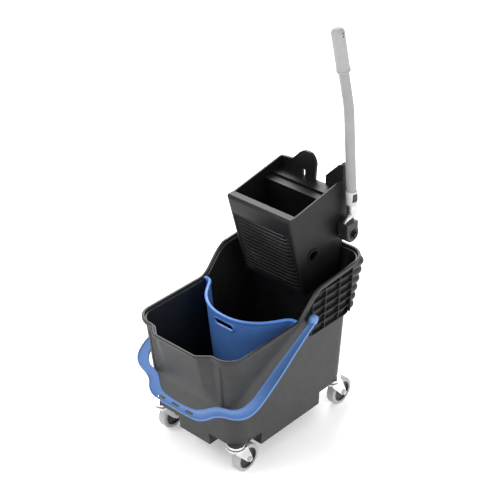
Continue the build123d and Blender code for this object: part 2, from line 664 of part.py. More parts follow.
with BuildPart() as lever_sleeve:
    with BuildSketch(lower.offset(-1 + FIT)):
        Circle(SLEEVE_R)
        Circle(TUBE_R - 2.5 + FIT, mode=Mode.SUBTRACT)
    extrude(amount=4)
    with BuildSketch(lower.offset(3)):
        Circle(SLEEVE_R)
        Circle(TUBE_R + FIT, mode=Mode.SUBTRACT)
    extrude(amount=34)
    chamfer(lever_sleeve.edges().filter_by(GeomType.CIRCLE).sort_by(Axis.Z)[0:1], 1)
    with BuildSketch(Plane(origin=lower.offset(20).origin, x_dir=(0, 1, 0), z_dir=(1, 0, 0))):
        Rectangle(18, 22)
    extrude(amount=40, mode=Mode.SUBTRACT)
write(lever_sleeve.part, "lever_sleeve")

# spring clip that shows in the sleeve's window
with BuildPart() as sleeve_clip:
    with BuildSketch(lower.offset(10)):
        Circle(SLEEVE_R + 0.6)
        Circle(TUBE_R + FIT, mode=Mode.SUBTRACT)
    extrude(amount=20)
    with BuildSketch(Plane(origin=lower.offset(20).origin, x_dir=(0, 1, 0), z_dir=(1, 0, 0))):
        Rectangle(17.6, 21.6)
    extrude(amount=40, mode=Mode.INTERSECT)
write(sleeve_clip.part, "sleeve_clip")

with BuildPart() as lever_tube:
    with BuildLine(Plane.YZ.offset(LEVER_X)) as tube_line:
        start = lower.offset(3.1).origin
        FilletPolyline((start.Y, start.Z), LEVER_BEND, LEVER_END, radius=LEVER_BEND_R)
    with BuildSketch(Plane(origin=tube_line.line @ 0, x_dir=(1, 0, 0), z_dir=tube_line.line % 0)):
        Circle(TUBE_R)
        Circle(TUBE_R - 1.5, mode=Mode.SUBTRACT)
    sweep(path=tube_line.line)
write(lever_tube.part, "lever_tube")

with BuildPart() as lever_grip:
    with BuildSketch(upper.offset(-GRIP_LENGTH + GRIP_CAP)):
        Circle(GRIP_R)
    extrude(amount=GRIP_LENGTH)
    fillet(lever_grip.edges().sort_by(Axis.Z)[-1], 11)
    with BuildSketch(upper.offset(-GRIP_LENGTH + GRIP_CAP)):
        Circle(GRIP_R + 1)
    extrude(amount=5)
    with BuildSketch(upper.offset(-GRIP_LENGTH)):
        Circle(TUBE_R + FIT)
    extrude(amount=GRIP_LENGTH + FIT, mode=Mode.SUBTRACT)
    for drop in HANG_HOLE_DROPS:
        middle = upper.offset(GRIP_CAP - drop).origin
        with BuildSketch(Plane(origin=(LEVER_X - 30, middle.Y, middle.Z), z_dir=(1, 0, 0))):
            Circle(HANG_HOLE_R)
        extrude(amount=60, mode=Mode.SUBTRACT)
write(lever_grip.part, "lever_grip")

# ------------------------------------------------------------------ return springs
for name, side in SIDES.items():
    spring_z = 545.0
    rear = HOUSING_REAR - REAR_T - 0.3
    front = plate_y(spring_z, PLATE_T) + 0.3
    with BuildPart() as return_spring:
        with BuildLine() as coil:
            Helix(pitch=3.4, height=rear - front - 3.5, radius=5, center=(side * 62, front + 2.5, spring_z),
                  direction=(0, 1, 0))
        with BuildSketch(Plane(origin=coil.line @ 0, z_dir=coil.line % 0)):
            Circle(0.8)
        sweep(path=coil.line, is_frenet=True)
    write(return_spring.part, f"return_spring_{name}")

# ------------------------------------------------------------------ castors
for end, stem_y in STEM_Y.items():
    for name, side in SIDES.items():
        node = f"castor_{end}_{name}"
        x = side * STEM_X
        wheel_y = stem_y + TRAIL
        axle = Plane.YZ.offset(x)

        with BuildPart() as stem:
            with Locations((x, stem_y, 76)):
                Cylinder(STEM_R, 42, align=(Align.CENTER, Align.CENTER, Align.MIN))
            with Locations((x, stem_y, 89)):
                Cylinder(RACE_R, ARCH_TOP - 89 - 0.1, align=(Align.CENTER, Align.CENTER, Align.MIN))
            with Locations((x, stem_y, 74)):
                Cylinder(8, 3, align=(Align.CENTER, Align.CENTER, Align.MIN))
        write(stem.part, f"{node}_stem")

        with BuildPart() as balls:
            with Locations((x, stem_y, 87)):
                with PolarLocations(15, 14):
                    Sphere(1.7)
        write(balls.part, f"{node}_balls")

        with BuildPart() as fork:
            with Locations((x, stem_y, 79.5)):
                Cylinder(RACE_R, 5.5, align=(Align.CENTER, Align.CENTER, Align.MIN))
            with Locations((x, stem_y + 2, 79.5)):
                Box(2 * FORK_X, 36, 3, align=(Align.CENTER, Align.CENTER, Align.MIN))
            for cheek in (-1, 1):
                with BuildSketch(Plane.YZ.offset(x + cheek * FORK_X - (FORK_T if cheek > 0 else 0))):
                    with BuildLine():
                        Polyline((wheel_y + 8, WHEEL_R + 4), (stem_y + 22, 82.5), (stem_y - 16, 82.5),
                                 (stem_y - 16, 76), (wheel_y - 9.5, WHEEL_R - 2))
                        RadiusArc((wheel_y - 9.5, WHEEL_R - 2), (wheel_y + 8, WHEEL_R + 4), -10)
                    make_face()
                extrude(amount=FORK_T)
            with Locations((x, stem_y, 70)):
                Cylinder(STEM_R + FIT, 30, align=(Align.CENTER, Align.CENTER, Align.MIN), mode=Mode.SUBTRACT)
            with BuildSketch(Plane.YZ.offset(x - 30)):
                with Locations((wheel_y, WHEEL_R)):
                    Circle(AXLE_R + FIT)
            extrude(amount=60, mode=Mode.SUBTRACT)
        write(fork.part, f"{node}_fork")

        with BuildPart() as axle_bolt:
            with BuildSketch(Plane.YZ.offset(x - FORK_X - 4)):
                with Locations((wheel_y, WHEEL_R)):
                    RegularPolygon(7, 6)
            extrude(amount=4 - FIT)
            with BuildSketch(Plane.YZ.offset(x - FORK_X - 1)):
                with Locations((wheel_y, WHEEL_R)):
                    Circle(AXLE_R)
            extrude(amount=2 * FORK_X + 6)
        write(axle_bolt.part, f"{node}_axle")

        with BuildPart() as axle_nut:
            with BuildSketch(Plane.YZ.offset(x + FORK_X + FIT)):
                with Locations((wheel_y, WHEEL_R)):
                    RegularPolygon(7, 6)
                    Circle(AXLE_R + FIT, mode=Mode.SUBTRACT)
            extrude(amount=4)
        write(axle_nut.part, f"{node}_nut")

        with BuildPart() as hub:
            with BuildSketch(Plane.YZ.offset(x - TREAD_W / 2)):
                with Locations((wheel_y, WHEEL_R)):
                    Circle(WHEEL_HUB_R)
                    Circle(AXLE_R + FIT, mode=Mode.SUBTRACT)
            extrude(amount=TREAD_W)
            for cheek in (-1, 1):
                with BuildSketch(Plane(origin=(x + cheek * (TREAD_W / 2 - 3), wheel_y, WHEEL_R), z_dir=(cheek, 0, 0))):
                    Circle(WHEEL_HUB_R - 4)
                    Circle(9, mode=Mode.SUBTRACT)
                extrude(amount=5, mode=Mode.SUBTRACT)
        write(hub.part, f"{node}_hub")

        with BuildPart() as tyre:
            with BuildSketch(Plane.YZ.offset(x - TREAD_W / 2)):
                with Locations((wheel_y, WHEEL_R)):
                    Circle(WHEEL_R)
                    Circle(WHEEL_HUB_R + FIT, mode=Mode.SUBTRACT)
            extrude(amount=TREAD_W)
            fillet(tyre.edges().filter_by(GeomType.CIRCLE).group_by(SortBy.RADIUS)[-1], 4)
        write(tyre.part, f"{node}_tyre")
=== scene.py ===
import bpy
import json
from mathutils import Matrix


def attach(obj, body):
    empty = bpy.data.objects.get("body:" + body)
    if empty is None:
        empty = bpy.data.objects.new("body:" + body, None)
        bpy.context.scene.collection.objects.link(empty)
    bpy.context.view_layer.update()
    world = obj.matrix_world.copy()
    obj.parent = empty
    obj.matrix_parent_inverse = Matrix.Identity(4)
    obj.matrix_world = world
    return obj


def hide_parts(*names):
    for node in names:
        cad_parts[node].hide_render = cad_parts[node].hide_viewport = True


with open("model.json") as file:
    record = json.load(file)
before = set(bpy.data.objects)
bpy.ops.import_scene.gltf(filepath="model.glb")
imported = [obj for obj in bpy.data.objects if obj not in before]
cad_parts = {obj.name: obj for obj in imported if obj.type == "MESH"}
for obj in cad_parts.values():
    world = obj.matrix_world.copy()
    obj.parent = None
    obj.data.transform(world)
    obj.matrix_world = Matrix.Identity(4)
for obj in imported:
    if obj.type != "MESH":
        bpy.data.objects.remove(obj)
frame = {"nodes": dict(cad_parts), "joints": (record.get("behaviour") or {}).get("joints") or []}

"""Looks of a wheeled mop bucket with a press wringer, built round its CAD frame.

Shapes are drawn in millimetres about the CAD drawing's own middle plane: X to the lever's side,
Y to the high rear end, Z up from the floor. make() turns them to metres in the frame.
"""
import json
from math import cos, pi, radians, sin

import bmesh
import bpy
import numpy as np
from mathutils import Vector

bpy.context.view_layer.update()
MM = 0.001
JOINTS = {joint["name"]: joint for joint in frame["joints"]}
SIDES = {"left": -1, "right": 1}
CASTORS = [(end, side) for end in ("front", "rear") for side in SIDES]

# the drawing's Y = 0, from where the frame has the front castors' stems
STEM_Y = {"front": -191.0, "rear": 172.0}
STEM_X = 126.0
SHIFT_Y = JOINTS["swivel_front_left"]["pos_m"][1] / MM - STEM_Y["front"]


# ------------------------------------------------------------------ mesh tools
def shape(name, patches):
    """Join (points, faces) patches into one welded mesh object."""
    points, faces, start = [], [], 0
    for patch_points, patch_faces in patches:
        flat = np.asarray(patch_points, float).reshape(-1, 3)
        points.append(flat)
        faces += [[int(corner) + start for corner in face] for face in patch_faces]
        start += len(flat)
    places = (np.concatenate(points) + (0, SHIFT_Y, 0)) * MM
    mesh = bpy.data.meshes.new(name)
    mesh.from_pydata(places.tolist(), [], faces)
    weld(mesh)
    made = bpy.data.objects.new(name, mesh)
    bpy.context.scene.collection.objects.link(made)
    return made


def make(name, patches, body, stands_for, material, sharp=35):
    """A shape that rides on a body in place of CAD nodes."""
    return dress(shape(name, patches), body, stands_for, material, sharp)


def weld(mesh, flat_angle=None):
    """Merge doubled points, drop what collapsed, and if asked dissolve the edges inside flat faces."""
    work = bmesh.new()
    work.from_mesh(mesh)
    bmesh.ops.remove_doubles(work, verts=work.verts, dist=2e-6)
    bmesh.ops.dissolve_degenerate(work, edges=work.edges, dist=1e-6)
    if flat_angle:
        bmesh.ops.dissolve_limit(work, angle_limit=radians(flat_angle), verts=work.verts, edges=work.edges)
    work.to_mesh(mesh)
    work.free()


def dress(made, body, stands_for, material, sharp=35):
    """Give an object its material, shading smooth up to an angle, its body and the nodes it stands for."""
    made.data.materials.clear()
    made.data.materials.append(material)
    made.data.shade_smooth()
    made.data.set_sharp_from_angle(angle=radians(sharp))
    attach(made, body)
    if stands_for:
        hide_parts(*stands_for)
    return made


def softened(node, body, material, width, segments=2, sharp=35):
    """A welded copy of a CAD node with its hard edges rounded to a moulding's small radius."""
    copy = frame["nodes"][node].copy()
    copy.data = copy.data.copy()
    copy.name = f"{node}_moulding"
    copy.parent = None
    bpy.context.scene.collection.objects.link(copy)
    weld(copy.data, flat_angle=1)
    rounding = copy.modifiers.new("edge_radius", "BEVEL")
    rounding.width = width * MM
    rounding.segments = segments
    rounding.limit_method = "ANGLE"
    rounding.angle_limit = radians(30)
    rounding.harden_normals = False
    return dress(copy, body, [node], material, sharp)


def grid(points, around=False):
    """Patch of a (rows, columns, 3) array of points; around joins the last column to the first."""
    rows, columns = points.shape[:2]
    r, c = np.meshgrid(np.arange(rows - 1), np.arange(columns - (not around)), indexing="ij")
    right, below = (c + 1) % columns, r + 1
    faces = np.stack([r * columns + c, r * columns + right, below * columns + right, below * columns + c], -1)
    return points, faces.reshape(-1, 4).tolist()


def flipped(patch):
    """The same patch facing the other way."""
    return patch[0], [face[::-1] for face in patch[1]]


def cap(ring, flip=False):
    """One flat face over a closed ring of points."""
    face = list(range(len(ring)))
    return ring, [face[::-1] if flip else face]


def mirrored(patch):
    """The patch reflected from right to left, still facing outwards."""
    return np.asarray(patch[0], float).reshape(-1, 3) * (-1, 1, 1), [face[::-1] for face in patch[1]]


# ------------------------------------------------------------------ materials
def colour(code):
    """Linear RGBA of an sRGB hex code."""
    parts = [int(code[i:i + 2], 16) / 255 for i in (1, 3, 5)]
    return [p / 12.92 if p <= 0.04045 else ((p + 0.055) / 1.055) ** 2.4 for p in parts] + [1.0]


def node(tree, kind, links=None, values=None, **settings):
    """Add a shader node: settings are its own fields, values and links go to its input sockets."""
    added = tree.nodes.new(kind)
    for field, value in settings.items():
        setattr(added, field, value)
    for socket, value in (values or {}).items():
        added.inputs[socket].default_value = value
    for socket, source in (links or {}).items():
        tree.links.new(source, added.inputs[socket])
    return added


def surface(name, **values):
    """New material with a Principled shader holding these values; returns it, its tree and the shader."""
    material = bpy.data.materials.new(name)
    material.use_nodes = True
    tree = material.node_tree
    shader = tree.nodes["Principled BSDF"]
    for socket, value in values.items():
        shader.inputs[socket.replace("_", " ")].default_value = value
    return material, tree, shader


def speckled(name, dark, light, grain_mm, mottle_mm, roughness, bump, ior=1.49):
    """Injection-moulded plastic: a fine spark-eroded grain in bump and roughness over a slow mottle.

    dark and light are the ends of the mottle, mottle_mm across. A real spark-eroded grain is about
    0.1 mm, too fine to show, so grain_mm draws it about ten times coarser.
    """
    material, tree, shader = surface(name, IOR=ior)
    place = node(tree, "ShaderNodeTexCoord").outputs["Object"]
    mottle = node(tree, "ShaderNodeTexNoise", {"Vector": place},
                  {"Scale": 1 / (mottle_mm * MM), "Detail": 6.0, "Roughness": 0.62})
    grain = node(tree, "ShaderNodeTexNoise", {"Vector": place},
                 {"Scale": 1 / (grain_mm * MM), "Detail": 2.0, "Roughness": 0.5})
    mixed = node(tree, "ShaderNodeMath", {0: mottle.outputs["Fac"], 1: grain.outputs["Fac"]}, operation="ADD")
    ramp = node(tree, "ShaderNodeValToRGB", {"Fac": node(
        tree, "ShaderNodeMath", {0: mixed.outputs[0]}, {1: 0.5}, operation="MULTIPLY").outputs[0]})
    ramp.color_ramp.elements[0].position = 0.38
    ramp.color_ramp.elements[1].position = 0.62
    ramp.color_ramp.elements[0].color = colour(dark)
    ramp.color_ramp.elements[1].color = colour(light)
    tree.links.new(ramp.outputs["Color"], shader.inputs["Base Color"])
    low, high = roughness
    rough = node(tree, "ShaderNodeMapRange", {"Value": grain.outputs["Fac"]}, {"To Min": low, "To Max": high})
    tree.links.new(rough.outputs["Result"], shader.inputs["Roughness"])
    relief = node(tree, "ShaderNodeBump", {"Height": grain.outputs["Fac"]}, {"Strength": 1.0, "Distance": bump * MM})
    tree.links.new(relief.outputs["Normal"], shader.inputs["Normal"])
    return material


def metal(name, tint, roughness, streak_mm, bump):
    """Bare or plated metal: streaks streak_mm = (x, y, z) long in its roughness, a little in its relief."""
    material, tree, shader = surface(name, Metallic=1.0)
    place = node(tree, "ShaderNodeTexCoord").outputs["Object"]
    stretch = node(tree, "ShaderNodeMapping", {"Vector": place})
    stretch.inputs["Scale"].default_value = [1 / (size * MM) for size in streak_mm]
    noise = node(tree, "ShaderNodeTexNoise", {"Vector": stretch.outputs[0]},
                 {"Scale": 1.0, "Detail": 3.0, "Roughness": 0.6})
    low, high = roughness
    rough = node(tree, "ShaderNodeMapRange", {"Value": noise.outputs["Fac"]}, {"To Min": low, "To Max": high})
    tree.links.new(rough.outputs["Result"], shader.inputs["Roughness"])
    ramp = node(tree, "ShaderNodeValToRGB", {"Fac": noise.outputs["Fac"]})
    ramp.color_ramp.elements[0].position = 0.3
    ramp.color_ramp.elements[1].position = 0.7
    ramp.color_ramp.elements[0].color = colour(tint[0])
    ramp.color_ramp.elements[1].color = colour(tint[1])
    tree.links.new(ramp.outputs["Color"], shader.inputs["Base Color"])
    relief = node(tree, "ShaderNodeBump", {"Height": noise.outputs["Fac"]}, {"Strength": 1.0, "Distance": bump * MM})
    tree.links.new(relief.outputs["Normal"], shader.inputs["Normal"])
    return material


# reground polypropylene: matt charcoal with paler flecks of the mixed regrind
TUB_PP = speckled("recycled_polypropylene_charcoal", "#202020", "#2f2f2f", 1.6, 26, (0.45, 0.62), 0.03)
# the same resin inside the tub, smoother off the polished core; its blacker colour is painted shade, the deep shade
# that fills the tub
INTERIOR_SHADE_PP = speckled("recycled_polypropylene_painted_interior_shade", "#101010", "#1c1c1c", 1.6, 30, (0.4, 0.55), 0.02)
# the lip, the rear lattice and the wall in the lattice's cells: a darker colour, painted shade in the recessed cells
# and under the lip, with the lip's face darker than the wall; smoother where the tool is polished and hands wear the
# grain away
LIP_AND_CELL_SHADE_PP = speckled("recycled_polypropylene_lip_and_cell_shade", "#151515", "#202020", 1.6, 26, (0.36, 0.5), 0.02)
# polypropylene moulded in a finer grained tool: satin black with a soft sheen along edges; its IOR is
# below the resin's 1.49, matched to how little its broad faces reflect
WRINGER_PP = speckled("moulded_polypropylene_black", "#0c0c0c", "#151515", 0.9, 34, (0.38, 0.5), 0.02, ior=1.33)
# blue homopolymer, unfilled, straight off a smooth tool
BAIL_PP = speckled("polypropylene_mid_blue", "#4f75ad", "#577db7", 1.2, 40, (0.34, 0.46), 0.01)
DIVIDER_PP = speckled("polypropylene_deep_blue", "#4d7bc4", "#5583cc", 1.2, 40, (0.38, 0.5), 0.01)
# moulded grey polypropylene: a soft satin on the grip, a tighter gloss on the sleeve under it
GRIP_PP = speckled("polypropylene_light_grey_satin", "#989898", "#a1a1a1", 1.0, 20, (0.38, 0.5), 0.01)
SLEEVE_PP = speckled("polypropylene_light_grey_gloss", "#bcbcbc", "#c6c6c6", 1.0, 20, (0.25, 0.36), 0.005)
# stoved enamel on a steel tube: an even mid grey with one long clean highlight
TUBE_PAINT = speckled("grey_enamelled_steel_tube", "#8e8e8e", "#979797", 1.4, 60, (0.28, 0.38), 0.01)
# black passivated zinc: dark metal with a dull glint on its edges
BLACK_ZINC = metal("black_zinc_plate", ("#1c1c1c", "#2a2a2a"), (0.3, 0.45), (6, 6, 6), 0.01)
# glass filled nylon: matt black, its skin roughened by the fibres
HUB_NYLON = speckled("glass_filled_nylon_black", "#151515", "#1f1f1f", 0.8, 12, (0.4, 0.55), 0.03, ior=1.53)
# wheel centres: black polypropylene, a little glossier than the tub
WHEEL_PP = speckled("wheel_centre_polypropylene", "#121212", "#1c1c1c", 0.8, 12, (0.35, 0.5), 0.02)
# non-marking tread: pale grey rubber, matt from scuffing
RUBBER = speckled("grey_non_marking_rubber", "#9c9c9c", "#adadad", 0.9, 9, (0.55, 0.7), 0.03, ior=1.52)
# turned acetal: waxy black bearing surface
BUSH = speckled("acetal_bush", "#161616", "#1e1e1e", 0.8, 12, (0.25, 0.35), 0.005, ior=1.48)
# bright chrome over a pressing: near mirror with slow waves from the sheet below
CHROME = metal("bright_chrome_plate", ("#d8d8da", "#ececee"), (0.06, 0.16), (18, 18, 18), 0.01)
# barrel-plated fasteners: pale grey, softer than chrome
ZINC = metal("bright_zinc_plate", ("#bfc0c0", "#d6d6d4"), (0.22, 0.36), (6, 6, 6), 0.01)
# hot dipped zinc: patches of brighter and duller spangle
GALVANISED = metal("hot_dip_galvanised_steel", ("#b0b1b2", "#dcdcdc"), (0.25, 0.5), (7, 7, 7), 0.04)
# drawn wire: plain grey steel, slightly glossy
SPRING = metal("drawn_spring_steel", ("#8a8a8a", "#a2a2a2"), (0.25, 0.4), (3, 3, 3), 0.01)

FINISH = {
    "bucket_shell": TUB_PP, "bucket_base": TUB_PP, "rim_lattice": TUB_PP,
    "bail_boss_left": TUB_PP, "bail_boss_right": TUB_PP,
    "divider": DIVIDER_PP, "bail": BAIL_PP, "wringer_housing": WRINGER_PP, "front_grille": WRINGER_PP,
    "rim_hook_left": WRINGER_PP, "rim_hook_right": WRINGER_PP, "press_plate": WRINGER_PP,
    "shaft_bush_left": BUSH, "shaft_bush_right": BUSH, "cross_shaft": ZINC, "cam_left": HUB_NYLON,
    "cam_right": HUB_NYLON, "lever_hub": HUB_NYLON, "hub_bolt": BLACK_ZINC, "shaft_circlip": SPRING,
    "lever_shank": GALVANISED, "lever_sleeve": SLEEVE_PP, "sleeve_clip": HUB_NYLON, "lever_tube": TUBE_PAINT,
    "lever_grip": GRIP_PP, "return_spring_left": SPRING, "return_spring_right": SPRING,
}
for end, side in CASTORS:
    for part, finish in (("stem", CHROME), ("balls", CHROME), ("fork", CHROME), ("axle", ZINC), ("nut", ZINC),
                         ("hub", WHEEL_PP), ("tyre", RUBBER)):
        FINISH[f"castor_{end}_{side}_{part}"] = finish
for name, cad in frame["nodes"].items():
    for slot in cad.material_slots:
        slot.material = FINISH[name]

# ------------------------------------------------------------------ tub
FLOOR_Z, BEND_Z, ARCH_TOP = 57.0, 290.0, 95.4
CORNER_R, WALL, FLOOR_T = 42.0, 3.5, 4.0
ARCH_X, ARCH_Y, ARCH_R = 51.0, {"front": -119.0, "rear": 100.0}, 12.0
LIP_OUT, LIP_DEPTH, LIP_STEP = 8.0, 11.0, 7.0
CREASE_X = 96.0                          # where the spout's cheeks run into the front wall
# the outer wall at the floor, and how much further out it stands per mm up
HALF_AT_FLOOR, HALF_DRAFT = 143, 0.031
FRONT_AT_FLOOR, FRONT_DRAFT = -204, 0.105
REAR_AT_FLOOR, REAR_DRAFT, REAR_FLARE = 197, 0.047, 0.25
# the rim's side view: Y, height and slope at the ends of the S and at its middle
RIM_KNOTS = ((-12.0, 366.0, 0.012), (31.0, 399.0, 1.08), (80.0, 433.0, 0.08))
# the spout's flat panel at height SPOUT_Z: its Y and half-width, with what each changes by per mm up
SPOUT_Z, PANEL_Y, PANEL_LEAN, PANEL_HALF, PANEL_SPREAD = 195, -217.5, 0.2649, 57, 0.0536
FILLET_R, CREASE_R = 14, 16              # the spout's outer edges, and the creases beside them
GROOVE_TURNS, GROOVE_DEPTH = (radians(5), radians(16)), 3.4     # the groove down each front corner
HALF_COLUMNS = {"panel": 8, "fillet": 8, "cheek": 4, "crease": 8, "front": 2, "lead": 2, "groove": 8,
                "front_corner": 12, "side": 56, "rear_corner": 14, "rear": 15}
COLUMNS = sum(HALF_COLUMNS.values())


def tub_walls(z):
    """Half-width, front and rear of the outer wall at height z: straight drafts, a rear flare above the bend."""
    up = z - FLOOR_Z
    rear = REAR_AT_FLOOR + REAR_DRAFT * np.minimum(up, BEND_Z - FLOOR_Z) + REAR_FLARE * np.maximum(z - BEND_Z, 0)
    return HALF_AT_FLOOR + HALF_DRAFT * up, FRONT_AT_FLOOR - FRONT_DRAFT * up, rear


def rim_height(y):
    """The rim's side view: a nearly level front line, an S of two cubic pieces, a gently rising rear line."""
    y = np.asarray(y, float)
    (y_low, z_low, slope_low), _, (y_high, z_high, slope_high) = RIM_KNOTS
    height = np.where(y < 0, z_low + slope_low * (y - y_low), z_high + slope_high * (y - y_high))
    for (y0, z0, slope0), (y1, z1, slope1) in zip(RIM_KNOTS, RIM_KNOTS[1:]):
        t = np.clip((y - y0) / (y1 - y0), 0, 1)
        piece = ((1 + 2 * t) * (1 - t) ** 2 * z0 + t * (1 - t) ** 2 * (y1 - y0) * slope0
                 + t * t * (3 - 2 * t) * z1 + t * t * (t - 1) * (y1 - y0) * slope1)
        height = np.where((y >= y0) & (y <= y1), piece, height)
    return height


def half_outline(z, grow, groove=0.0):
    """Right half of the tub's plan outline at heights z (rows, columns), grown by grow (rows, 1).

    From the middle of the spout's panel by its rounded edge, its cheek, the rounded crease and the
    front wall, a quarter circle with a groove near its start, the side, a quarter circle and the rear
    wall to the middle of the rear.
    """
    z, grow = np.broadcast_arrays(z * np.ones((1, COLUMNS)), grow)
    half, front, rear = tub_walls(z)
    half, front, rear, r = half + grow, front - grow, rear + grow, CORNER_R + grow
    panel_y = np.minimum(PANEL_Y - PANEL_LEAN * (z - SPOUT_Z) - grow, front)
    panel = PANEL_HALF + PANEL_SPREAD * (z - SPOUT_Z)
    turn = np.arctan2(front - panel_y, CREASE_X - panel)
    panel, crease_x = panel + grow * np.tan(turn / 2), CREASE_X + grow * np.tan(turn / 2)
    outer_r, inner_r = FILLET_R + grow, CREASE_R - grow
    tangent, inner_tangent = outer_r * np.tan(turn / 2), inner_r * np.tan(turn / 2)
    x, y = np.empty_like(z), np.empty_like(z)
    start = 0
    for part, count in HALF_COLUMNS.items():
        run = slice(start, start + count)
        t = (np.arange(count) / (count - (part == "rear")))[None, :]
        a = (lambda v: v[:, run])
        if part == "panel":
            x[:, run], y[:, run] = t * a(panel - tangent), a(panel_y)
        elif part == "fillet":
            x[:, run] = a(panel - tangent) + a(outer_r) * np.sin(a(turn) * t)
            y[:, run] = a(panel_y) + a(outer_r) * (1 - np.cos(a(turn) * t))
        elif part == "cheek":
            left, right = a(panel) + a(tangent) * np.cos(a(turn)), a(crease_x) - a(inner_tangent) * np.cos(a(turn))
            low, high = a(panel_y) + a(tangent) * np.sin(a(turn)), a(front) - a(inner_tangent) * np.sin(a(turn))
            x[:, run], y[:, run] = left + (right - left) * t, low + (high - low) * t
        elif part == "crease":
            left_over = a(turn) * (1 - t)
            x[:, run] = a(crease_x) + a(inner_tangent) - a(inner_r) * np.sin(left_over)
            y[:, run] = a(front) - a(inner_r) * (1 - np.cos(left_over))
        elif part == "front":
            left = a(crease_x) + a(inner_tangent)
            x[:, run], y[:, run] = left + np.maximum(a(half - r) - left, 0.4) * t, a(front)
        elif part in ("lead", "groove", "front_corner"):
            first, last = {"lead": (0, GROOVE_TURNS[0]), "groove": GROOVE_TURNS,
                           "front_corner": (GROOVE_TURNS[1], pi / 2)}[part]
            swing = first + (last - first) * t
            reach = a(r) - (groove * np.sin(pi * t) ** 0.7 if part == "groove" else 0)
            x[:, run], y[:, run] = a(half - r) + reach * np.sin(swing), a(front + r) - reach * np.cos(swing)
        elif part == "side":
            x[:, run], y[:, run] = a(half), a(front + r) + (a(rear - r) - a(front + r)) * t
        elif part == "rear_corner":
            x[:, run] = a(half - r) + a(r) * np.cos(pi / 2 * t)
            y[:, run] = a(rear - r) + a(r) * np.sin(pi / 2 * t)
        else:
            x[:, run], y[:, run] = a(half - r) * (1 - t), a(rear)
        start += count
    return np.stack([x, y, z], -1)


def along_rim(grow, drop):
    """Rows of the half outline that lie drop (rows, 1) below the rim's side view."""
    z = 380.0 * np.ones((len(drop), COLUMNS))
    for _ in range(6):
        z = rim_height(half_outline(z, grow)[..., 1]) - drop
    return half_outline(z, grow)


def ringed(half):
    """The whole closed outline from its right half."""
    return np.concatenate([half, half[:, -2:0:-1] * (-1, 1, 1)], axis=1)


def column(*values):
    """Values as a (rows, 1) array."""
    return np.array(values, float)[:, None]


def corner_path(x0, y0, far_x, far_y, r, count=16):
    """L-shaped path (x0, far_y) - (x0, y0) - (far_x, y0) whose corner is a quarter circle of radius r."""
    across, along = np.sign(far_x - x0), np.sign(far_y - y0)
    a = np.linspace(0, pi / 2, count)
    arc = np.stack([x0 + across * r * (1 - np.cos(a)), y0 + along * r * (1 - np.sin(a))], -1)
    ends = np.linspace(0, 1, 6)[:, None]
    lead = (x0, far_y) + ends * (np.array([x0, y0 + along * r]) - (x0, far_y))
    tail = (x0 + across * r, y0) + ends * (np.array([far_x, y0]) - (x0 + across * r, y0))
    return np.concatenate([lead[:-1], arc, tail[1:]])


def outer_corner(x0, y0, half, end_y, r, count=16):
    """The tub's own corner between the same two ends: straight, a quarter circle, straight."""
    along = np.sign(end_y - y0)
    a = np.linspace(0, pi / 2, count)
    arc = np.stack([half - r + r * np.sin(a), end_y - along * r * (1 - np.cos(a))], -1)
    ends = np.linspace(0, 1, 6)[:, None]
    lead = (x0, end_y) + ends * (np.array([half - r, end_y]) - (x0, end_y))
    tail = (half, end_y - along * r) + ends * (np.array([half, y0]) - (half, end_y - along * r))
    return np.concatenate([lead[:-1], arc, tail[1:]])


def raised(path, z):
    """A plan path (columns, 2) as points at height z."""
    return np.concatenate([path, np.full((len(path), 1), z)], 1)


def cross_ring(z, inset):
    """Closed outline of the cross that the four wheel arches leave of the tub's foot, pulled in by inset."""
    half, front, rear = tub_walls(z)
    right = np.concatenate([
        corner_path(ARCH_X - inset, ARCH_Y["front"] + inset, half - inset, front + inset, ARCH_R + inset),
        corner_path(ARCH_X - inset, ARCH_Y["rear"] - inset, half - inset, rear - inset, ARCH_R + inset)[::-1]])
    return raised(np.concatenate([right, right[::-1] * (-1, 1)]), z)


